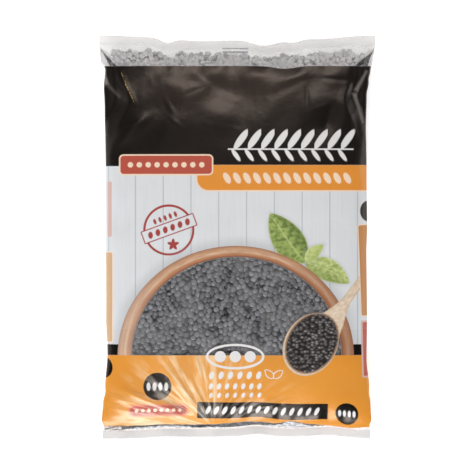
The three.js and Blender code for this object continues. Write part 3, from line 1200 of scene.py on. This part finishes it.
def header_mark(art):
    """The grey block that a packing line reads: its mask, and the mask of the two dark lines over it."""
    flat = art.join(art.x, art.level)
    whole, upper, lower = (
        art.block((-0.9, height), (7.3, half_height), corner, Place=flat)
        for height, half_height, corner in ((97.4, 4.0, 0.2), (103.7, 0.42, 0.1), (101.7, 0.72, 0.1))
    )
    lines = art.either(art.inside(upper, soft=0.5), art.inside(lower, soft=0.5))
    return art.inside(whole), lines


def corner_tucks(art):
    """The dark lines at the header's two corners, where the side walls are folded in."""
    left = art.handle((-74.8, 103.6), (-67.2, 93.0), 0.35, 1.6)
    right = art.handle((75.6, 103.8), (67.4, 92.6), 0.3, 3.2)
    return art.inside(art.smaller(left, right), soft=0.6)


def plain_material(name, base, roughness):
    material = bpy.data.materials.new(name)
    material.use_nodes = True
    nodes = Nodes(material.node_tree)
    shader = material.node_tree.nodes["Principled BSDF"]
    nodes.feed(shader.inputs["Base Color"], base)
    nodes.feed(shader.inputs["Roughness"], roughness)
    return material, nodes, shader


def film_material(name, groups):
    """A new film material, the print to lay on it and its shader."""
    material, nodes, shader = plain_material(name, PLANK_INK, 0.3)
    return material, FilmPrint(nodes.tree, groups), shader


def film_surface(art, shader):
    """The film's uneven gloss, the same everywhere. Returns a slow drift for its haze."""
    crinkle = art.group(art.groups["crinkle"], Place=art.place, Size=CRINKLE_SIZE, Grain=CRINKLE_GRAIN)
    relief = {"Height": crinkle["Height"], "Strength": 0.5, "Distance": CRINKLE_HEIGHT}
    art.feed(shader.inputs["Normal"], art.put("ShaderNodeBump", relief).outputs[0])
    roughness = art.between(art.y, -95.0, 60.0, FOOT_ROUGHNESS, TOP_ROUGHNESS, soft=True)
    art.feed(shader.inputs["Roughness"], roughness)
    shader.inputs["Specular Tint"].default_value = WARM_GLOSS
    shader.inputs["IOR"].default_value = FILM_IOR
    return art.between(crinkle["Sheen"], 0.25, 0.75, -HAZE_DRIFT, HAZE_DRIFT, soft=True)


def make_upper_film(groups):
    """Printed film of the bag's upper part: a clear header over the black band."""
    material, art, shader = film_material("upper printed film", groups)
    plank_lines(art)
    worn_label(art)
    black_band(art)
    header = art.in_header()
    drift = film_surface(art, shader)
    haze = art.between(art.y, TOP_SEAL - 1.5, TOP_SEAL, HEADER_HAZE, SEAL_HAZE)
    corner_haze = art.between(art.x, -54.0, -72.0, 0.0, LEFT_CORNER_HAZE, soft=True)
    haze = art.plus(art.plus(haze, corner_haze), drift)
    alpha = art.math("MULTIPLY_ADD", header, haze, art.not_in(header), clamp=True)
    mark, mark_lines = header_mark(art)
    alpha = art.either(alpha, art.both(art.both(mark, header), MARK_STRENGTH))
    alpha = art.either(alpha, art.both(mark_lines, MARK_LINE_STRENGTH))
    tucks = art.both(corner_tucks(art), header)
    alpha = art.either(alpha, art.both(tucks, TUCK_STRENGTH))
    shade = art.mix(header, art.shade, CLEAR_FILM)
    shade = art.mix(mark_lines, shade, MARK_INK)
    shade = art.mix(tucks, shade, FOLDED_IN_INK)
    art.feed(shader.inputs["Base Color"], shade)
    art.feed(shader.inputs["Alpha"], alpha)
    return material


def make_lower_film(groups):
    """Printed film of the bag's lower part: clear in the window and in the foot."""
    material, art, shader = film_material("lower printed film", groups)
    window = lower_print(art)
    foot = art.in_foot()
    drift = film_surface(art, shader)
    in_foot = art.between(art.y, BOTTOM_SEAL + 0.1, BOTTOM_SEAL - 0.6, FOOT_HAZE, FOOT_SEAL_HAZE)
    in_foot = art.plus(in_foot, drift)
    # The haze thins towards the right, which paints the window darker there as shade.
    in_window = art.between(art.x, 10.0, 45.0, WINDOW_HAZE, SHADED_WINDOW_HAZE, soft=True)
    patches = art.patches(0.045, 0.06)
    in_window = art.plus(in_window, art.between(patches, 0.36, 0.64, -0.05, 0.05, soft=True))
    in_window = art.math("MULTIPLY_ADD", drift, 0.4, in_window)
    alpha = art.not_in(art.either(foot, window))
    alpha = art.math("MULTIPLY_ADD", foot, in_foot, alpha)
    alpha = art.math("MULTIPLY_ADD", window, in_window, alpha, clamp=True)
    silver = art.both(art.in_silver(), art.between(art.y, BOTTOM_SEAL - 0.4, BOTTOM_SEAL + 0.1))
    alpha = art.either(alpha, art.both(silver, SILVER_STRENGTH))
    streaky = art.patches(0.3, 1.2)
    corner = art.inside(art.block((-67.2, -105.5), (6.0, 1.5), 0.8), soft=1.2)
    corner = art.both(corner, art.between(streaky, 0.4, 0.56, 0.5, 0.9))
    alpha = art.either(alpha, corner)
    # Painted sheen: the crinkled film by the foot seal shines white in streaks, grey between.
    crinkles = art.noise(art.stretched(art.place, 0.35, 1.0), 1.1)
    crinkled = art.mix(art.between(crinkles, 0.42, 0.58), SHEEN_GREY_FILM, SHEEN_WHITE_FILM)
    shade = art.mix(window, art.shade, CLEAR_FILM)
    shade = art.mix(foot, shade, FOOT_FILM)
    shade = art.mix(silver, shade, crinkled)
    shade = art.mix(corner, shade, DARK_FOLD_FILM)
    art.feed(shader.inputs["Base Color"], shade)
    art.feed(shader.inputs["Alpha"], alpha)
    return material


def make_back_film(groups):
    """The plain back: the bands of colour run round it."""
    material, art, shader = film_material("back film", groups)
    film_surface(art, shader)
    plank_lines(art)
    art.lay(art.below(STRIPE_TOP), BLACK_INK)
    art.lay(art.below(PLANKS_FOOT), ORANGE_INK)
    art.lay(art.above(BLACK_FOOT), BLACK_INK)
    clear = art.either(art.in_header(), art.in_foot())
    art.feed(shader.inputs["Base Color"], art.mix(clear, art.shade, CLEAR_FILM))
    art.feed(shader.inputs["Alpha"], art.between(clear, 0.0, 1.0, 1.0, BACK_HAZE))
    return material


# ------------------------------------------------------------------ lentils

LENTIL_DRAW = 11
HEADER_PITCH = 2.95
LENTIL_PITCH = 3.15
LENTIL_RADII = (1.65, 2.05)
LENTIL_FATNESS = (0.42, 0.54)
LENTIL_SIDES = 9
LENTIL_RINGS = 5
LAYER_DROP = 1.6
FILM_GAP = 0.15
# Painted shade: each layer of lentils further down is darker and less frosted.
DEEPER_SHADE = 0.74  # share of its tone that a lentil keeps for each layer down
LEAN_GROWTH = 0.7  # how much more a lentil leans for each layer down
STEEPEST = 0.97  # the square of the largest lean's sine
DEEPEST_SINK = 0.7
SINK_ROOM = 0.4  # gap kept between the films before a lentil may sink
RIM_SHARE = 0.8  # of a lentil's radius, which has to fit within the side wall
SLOPE_STEP = 0.5
SCATTER = 0.7  # how far a place strays from an even grid, in pitches
PUSH_ROUNDS = 6
LEAST_APART = 0.96  # of the pitch
PUSH = 0.3
FAR_OFF = 99  # stands for a lentil's distance from itself
UNDER_GAP = 0.1
FILM_CLEARANCE = 0.08
WALL_CLEARANCE = 1.8
UNPULL_STEPS = 5  # rounds that find a shown place on the flat bag
FROST = 0.92  # how pale the header's lentils are
DUST_SCALE = 700.0  # to a metre

# How far across the loose lentils reach in the header and the foot, and their oval in the window.
HEADER_HALF = 74.5
FOOT_HALF = 73
WINDOW_FILL_RADII = (60.5, 57.4)

# The core: the rest of the filling, this far under the front film.
CORE_DEPTH = 3.4
HEADER_CORE_DEPTH = 6.0
CORE_ROWS = 160
CORE_COLUMNS = 110
CORE_SHARE = 0.97  # of the half width
CORE_ENDS = (BOTTOM_SEAL + 0.35, TOP_SEAL - 5.0)
CORE_FADE = 6  # how far under the black band's top the core sinks
CORE_LEAST = 0.4  # thickness, and gap from the back film
LUMP = 0.5
LUMP_SCALE = 260.0  # of the lumps in its surface, to a metre
LUMP_TURN = 1.7  # radians to a millimetre

# How high the lentils reach in the header: (place across, height on the flat bag).
HEADER_TOP = [
    (-75, 102.8),
    (-64, 103.7),
    (-38, 105.6),
    (-15, 105.2),
    (14, 105.2),
    (35, 102.9),
    (57, 103.4),
    (75, 102.4),
]


def lentil_shape():
    """A unit lentil: a round lens with a blunt rim, as points and triangles."""
    points = [(0, 0, 1)]
    for ring in range(1, LENTIL_RINGS):
        angle = math.pi * ring / LENTIL_RINGS
        radius, height = math.sin(angle) ** 0.8, math.cos(angle)
        for side in range(LENTIL_SIDES):
            turn = 2 * math.pi * (side + ring / 2) / LENTIL_SIDES
            points.append((radius * math.cos(turn), radius * math.sin(turn), height))
    points.append((0, 0, -1))
    faces = []
    for side in range(LENTIL_SIDES):
        after = (side + 1) % LENTIL_SIDES
        faces.append((0, 1 + side, 1 + after))
        base = 1 + (LENTIL_RINGS - 2) * LENTIL_SIDES
        faces.append((len(points) - 1, base + after, base + side))
        for ring in range(LENTIL_RINGS - 2):
            low, high = 1 + ring * LENTIL_SIDES, 1 + (ring + 1) * LENTIL_SIDES
            faces.append((low + side, high + side, low + after))
            faces.append((low + after, high + side, high + after))
    return np.array(points), np.array(faces)


def scattered(draw, low, high, keep, pitch):
    """Even but irregular places in a rectangle of the flat bag, pushed apart, where keep allows them."""
    rows = np.arange(low[1], high[1], pitch * math.sqrt(3) / 2)
    columns = np.arange(low[0], high[0], pitch)
    x, y = np.meshgrid(columns, rows)
    x = x + (np.arange(len(rows)) % 2)[:, None] * pitch / 2
    places = np.stack([x.ravel(), y.ravel()], axis=1)
    places += draw.uniform(-SCATTER, SCATTER, places.shape) * pitch
    places = places[keep(places[:, 0], places[:, 1])]
    for _ in range(PUSH_ROUNDS):
        apart = places[:, None, :] - places[None, :, :]
        distance = np.hypot(apart[..., 0], apart[..., 1]) + np.eye(len(places)) * FAR_OFF
        close = np.clip(pitch * LEAST_APART - distance, 0, None) / distance
        places += (apart * close[..., None]).sum(axis=1) * PUSH
    return places[keep(places[:, 0], places[:, 1])]


def film_over(x, y):
    """Height of the front film over a place of the flat bag, and of the back film under it."""
    half = half_width(np.sign(x), y)
    curl = ripple(SEAL_CURLS, x) * back_rise(y)
    return front_height(x, y, half) + curl, back_height(x, y, half) + curl


def lentil_layers(draw, low, high, keep, pitch, layers, lean):
    """Lentils under the front film: the middle, stand, radius and half thickness of each."""
    found = []
    for layer in range(layers):
        x, y = scattered(draw, low, high, keep, pitch).T
        count = len(x)
        radius = draw.uniform(*LENTIL_RADII, count)
        thick = radius * draw.uniform(*LENTIL_FATNESS, count)
        tilt = np.abs(draw.normal(0, math.radians(lean * (1 + LEAN_GROWTH * layer)), count))
        over, under = film_over(x, y)
        room = ((over - under) / 2 - FILM_GAP).clip(0, radius) ** 2 - thick**2
        steepest = np.sqrt((room / (radius**2 - thick**2)).clip(0, STEEPEST))
        tilt = np.minimum(tilt, np.arcsin(steepest))
        reach = np.hypot(radius * np.sin(tilt), thick * np.cos(tilt))
        spare = (over - under - 2 * reach - SINK_ROOM).clip(0, DEEPEST_SINK)
        sunk = draw.uniform(0, 1, count) * spare
        z = over - FILM_GAP - reach - LAYER_DROP * layer - sunk
        wall = half_width(np.sign(x), y) - drawn_in(y, z)
        fits = (z - reach > under + UNDER_GAP) & (np.abs(x) + RIM_SHARE * radius < wall)
        step = SLOPE_STEP
        slope_x = (film_over(x + step, y)[0] - film_over(x - step, y)[0]).clip(-1, 1)
        slope_y = (film_over(x, y + step)[0] - film_over(x, y - step)[0]).clip(-1, 1)
        turn = draw.uniform(0, 2 * math.pi, count)
        for i in np.nonzero(fits)[0]:
            up = Vector((-slope_x[i], -slope_y[i], 1)).normalized()
            spin = Matrix.Rotation(turn[i], 3, "Z") @ Matrix.Rotation(tilt[i], 3, "X")
            stand = up.to_track_quat("Z", "Y").to_matrix() @ spin
            found.append((x[i], y[i], z[i], stand, radius[i], thick[i], layer))
    return found


def header_keep(x, y):
    across, heights = zip(*HEADER_TOP)
    edge = np.interp(x, across, heights) + 0.35 * np.sin(x * 0.8) + 0.25 * np.sin(x * 1.9 + 2)
    return (y < edge) & (np.abs(x) < HEADER_HALF)


def window_keep(x, y):
    across = (x - WINDOW_MIDDLE[0]) / WINDOW_FILL_RADII[0]
    up = (y - WINDOW_MIDDLE[1]) / WINDOW_FILL_RADII[1]
    return across**2 + up**2 < 1


def foot_keep(x, y):
    edge = BOTTOM_SEAL + 0.9 + 0.6 * np.sin(x * 0.23 + 1) + 0.3 * np.sin(x * 0.9)
    return (y > edge) & (np.abs(x) < FOOT_HALF)


# Where loose lentils show: (lowest corner, highest corner, where they are kept, pitch, layers, lean).
LENTIL_AREAS = [
    ((-76, 90), (76, TOP_SEAL), header_keep, HEADER_PITCH, 3, 30),
    ((-61, -68), (61, -8), window_keep, LENTIL_PITCH, 2, 26),
    ((-76, BOTTOM_SEAL), (76, -98), foot_keep, HEADER_PITCH, 2, 25),
]


def inside_film(points):
    """Whether all the points of each lentil lie between the two films, inside the side walls."""
    x, shown_y, z = np.moveaxis(points, -1, 0)
    y = shown_y
    for _ in range(UNPULL_STEPS):
        y = shown_y - (pulled_in(x, y) - y)
    over, under = film_over(x, y)
    wall = half_width(np.sign(x), y) - drawn_in(y, z) - WALL_CLEARANCE
    between_films = (z < over - FILM_CLEARANCE) & (z > under + FILM_CLEARANCE)
    return (between_films & (np.abs(x) < wall)).all(axis=-1)


def loose_lentils(skin):
    """All the lentils that the clear film shows, joined into one mesh."""
    draw = np.random.default_rng(LENTIL_DRAW)
    header, window, foot = (lentil_layers(draw, *area) for area in LENTIL_AREAS)
    frosted = len(header)
    lentils = header + window + foot
    shape, triangles = lentil_shape()
    points, tints = [], []
    for x, y, z, stand, radius, thick, layer in lentils:
        size = np.array([radius, radius * draw.uniform(0.9, 1.0), thick])
        points.append((shape * size) @ np.array(stand).T + np.array([x, y, z]))
        # Painted shade: a deeper layer keeps less of its tone and frost.
        shown = DEEPER_SHADE**layer
        tints.append((draw.uniform() * shown, draw.uniform(), (len(tints) < frosted) * shown))
    points = np.array(points)
    middles = points.mean(axis=1)
    pulls = pulled_in(middles[:, 0], middles[:, 1]) - middles[:, 1]
    points[..., 1] += pulls[:, None]
    inside = inside_film(points)
    points, tints = points[inside], np.array(tints)[inside]
    starts = np.arange(len(points))[:, None, None] * len(shape)
    faces = (triangles + starts).reshape(-1, 3)
    piece = mesh_object("lentils", points.reshape(-1, 3), faces.tolist(), [skin])
    tints = np.repeat(tints, len(shape), axis=0)
    mark_points(piece, "tint", tints)
    return piece


def make_lentil_skin():
    """Dusty black seed coats, each with its own tone, a few of them browner, deeper layers painted darker
    as shade.
    """
    material, nodes, shader = plain_material("lentil skin", colour(100, 100, 104), 0.45)
    tint = nodes.put("ShaderNodeAttribute", attribute_name="tint").outputs["Vector"]
    tone, warmth, frosted = nodes.split(tint)
    place = nodes.put("ShaderNodeTexCoord").outputs["Object"]
    dust = nodes.noise(place, DUST_SCALE)
    shade = nodes.mix(tone, colour(78, 79, 84), colour(120, 121, 127))
    shade = nodes.mix(nodes.times(frosted, FROST), shade, colour(236, 236, 241))
    shade = nodes.mix(nodes.between(warmth, 0.96, 1.0, 0.0, 0.35), shade, colour(126, 114, 104))
    shade = nodes.mix(nodes.between(dust, 0.45, 0.75, 0.0, 0.35), shade, colour(48, 48, 52))
    nodes.feed(shader.inputs["Base Color"], shade)
    nodes.feed(shader.inputs["Roughness"], nodes.between(dust, 0.3, 0.7, 0.35, 0.55))
    return material


def make_mass_skin():
    """The lentils deeper in the bag, painted near black as their shade, with lumps of a lentil's size
    painted lighter at their middles as highlights.
    """
    material, nodes, shader = plain_material("lentil mass", colour(26, 26, 28), 0.6)
    place = nodes.put("ShaderNodeTexCoord").outputs["Object"]
    lumps = nodes.put("ShaderNodeTexVoronoi", {"Vector": place, "Scale": LUMP_SCALE}, feature="F1")
    height = nodes.minus(1.0, lumps.outputs["Distance"])
    bump = nodes.put("ShaderNodeBump", {"Height": height, "Strength": 0.8, "Distance": 0.001})
    # Painted shade and highlight: each lump is lighter at its middle and darker at its edge.
    shade = nodes.mix(nodes.between(height, 0.2, 0.9), colour(44, 44, 46), colour(90, 90, 94))
    nodes.feed(shader.inputs["Base Color"], shade)
    nodes.feed(shader.inputs["Normal"], bump.outputs[0])
    return material


def lentil_mass(skin):
    """The rest of the filling: a lumpy dark core that lies close under the loose lentils."""
    rows = np.linspace(*CORE_ENDS, CORE_ROWS)[:, None]
    shares = np.linspace(-CORE_SHARE, CORE_SHARE, CORE_COLUMNS)[None, :]
    tucked = TUCK_DEPTH * (1 - smooth((from_seal(rows) - TUCK_START) / (TUCK_END - TUCK_START)))
    half = half_width(shares, rows)
    x = shares * (half - tucked - CREASE_DEPTH)
    over, under = film_over(x, rows)
    lump = LUMP * np.sin(x * LUMP_TURN) * np.sin(rows * LUMP_TURN)
    low = under + np.minimum(CORE_LEAST, 0.25 * (over - under))
    depth = blend(CORE_DEPTH, HEADER_CORE_DEPTH, smooth((rows - BLACK_TOP + CORE_FADE) / CORE_FADE))
    top = np.maximum(over - depth + lump, low + CORE_LEAST)
    top = np.minimum(top, over - 0.5)
    y = pulled_in(x, rows)
    upper = np.stack([x, y, top], axis=-1)
    lower = np.stack([x, y, low], axis=-1)
    count, width = upper.shape[:2]
    points = np.concatenate([upper.reshape(-1, 3), lower.reshape(-1, 3)])
    faces = []
    shift = count * width
    for row in range(count - 1):
        for column in range(width - 1):
            start = row * width + column
            quad = (start, start + 1, start + 1 + width, start + width)
            faces.append(quad)
            faces.append(tuple(shift + point for point in quad[::-1]))
    rim = list(range(width)) + [row * width + width - 1 for row in range(1, count)]
    rim += [(count - 1) * width + column for column in range(width - 2, -1, -1)]
    rim += [row * width for row in range(count - 2, 0, -1)]
    for a, b in zip(rim, rim[1:] + rim[:1]):
        faces.append((b, a, a + shift, b + shift))
    return mesh_object("lentil_mass", points, faces, [skin])


# ------------------------------------------------------------------ stage

# In metres, except for the floor.
CAMERA_HEIGHT = 3.5
VIEW_WIDTH = 0.2607
SENSOR = 36
VIEW_LEVEL = 0.014
WARM_LIGHT = (1.0, 0.93, 0.87)
WHITE_LIGHT = (1.0, 1.0, 1.0)
FLOOR_GLOW = 0.6
WORLD_GLOW = 0.1
FLOOR_REACH = 3000
FLOOR_LEVEL = -0.1

# Softboxes that face the bag: (name, place, size, power, tint).
LAMPS = [
    ("top_softbox", (0.08, 1.14, 1.3), (0.8, 0.75), 12.5, WARM_LIGHT),
    ("foot_key", (-0.45, -1.3, 0.95), (1.5, 0.5), 30, WHITE_LIGHT),
    ("left_low_softbox", (-1.6, 0.1, 0.4), (0.8, 0.3), 2, WHITE_LIGHT),
    ("right_low_softbox", (1.6, 0.1, 0.45), (0.8, 0.35), 4.5, WHITE_LIGHT),
    ("overhead_softbox", (0, 0, 4.0), (2.0, 2.0), 5, WARM_LIGHT),
]


def area_light(name, place, size, power, tint):
    """A softbox that faces the bag."""
    light = bpy.data.lights.new(name, "AREA")
    light.color = tint
    light.shape = "RECTANGLE"
    light.size, light.size_y = size
    light.energy = power
    lamp = bpy.data.objects.new(name, light)
    lamp.location = place
    towards_bag = Vector((0, 0, VIEW_LEVEL)) - Vector(place)
    lamp.rotation_euler = towards_bag.to_track_quat("-Z", "Y").to_euler()
    bpy.context.scene.collection.objects.link(lamp)


def studio():
    """The pale floor, the lamps and the camera over the bag."""
    floor_material, nodes, shader = plain_material("pale floor", colour(248, 248, 248), 0.7)
    grain = nodes.noise(nodes.put("ShaderNodeTexCoord").outputs["Object"], 60.0)
    tone = nodes.mix(grain, colour(247, 247, 247), colour(249, 249, 249))
    nodes.feed(shader.inputs["Base Color"], tone)
    nodes.feed(shader.inputs["Emission Color"], tone)
    shader.inputs["Emission Strength"].default_value = FLOOR_GLOW
    shader.inputs["Specular IOR Level"].default_value = 0.0
    turns = ((-1, -1), (1, -1), (1, 1), (-1, 1))
    corners = [(x * FLOOR_REACH, y * FLOOR_REACH, FLOOR_LEVEL) for x, y in turns]
    floor = mesh_object("floor", corners, [(0, 1, 2, 3)], [floor_material], smooth_faces=False)
    world = bpy.data.worlds.new("studio")
    world.use_nodes = True
    background = world.node_tree.nodes["Background"]
    background.inputs["Color"].default_value = (1, 1, 1, 1)
    background.inputs["Strength"].default_value = WORLD_GLOW
    bpy.context.scene.world = world
    for lamp in LAMPS:
        area_light(*lamp)
    camera = bpy.data.cameras.new("camera")
    camera.sensor_width = SENSOR
    camera.lens = SENSOR * (CAMERA_HEIGHT - VIEW_LEVEL) / VIEW_WIDTH
    camera.clip_end = 20
    holder = bpy.data.objects.new("camera", camera)
    holder.location = (0, 0, CAMERA_HEIGHT)
    bpy.context.scene.collection.objects.link(holder)
    bpy.context.scene.camera = holder
    bpy.context.scene.view_settings.view_transform = "Standard"
    bpy.context.scene.view_settings.look = "None"


def build():
    studio()
    groups = {
        "block": make_block_group(),
        "oval": make_oval_group(),
        "leaf": make_leaf_group(),
        "handle": make_handle_group(),
        "seeds": make_seed_row_group(),
        "wood": make_wood_group(),
        "crinkle": make_crinkle_group(),
    }
    film = film_bag(make_upper_film(groups), make_lower_film(groups), make_back_film(groups))
    lentils = loose_lentils(make_lentil_skin())
    mass = lentil_mass(make_mass_skin())
    for piece in (film, lentils, mass):
        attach(piece, "root")
    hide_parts("bag")


build()
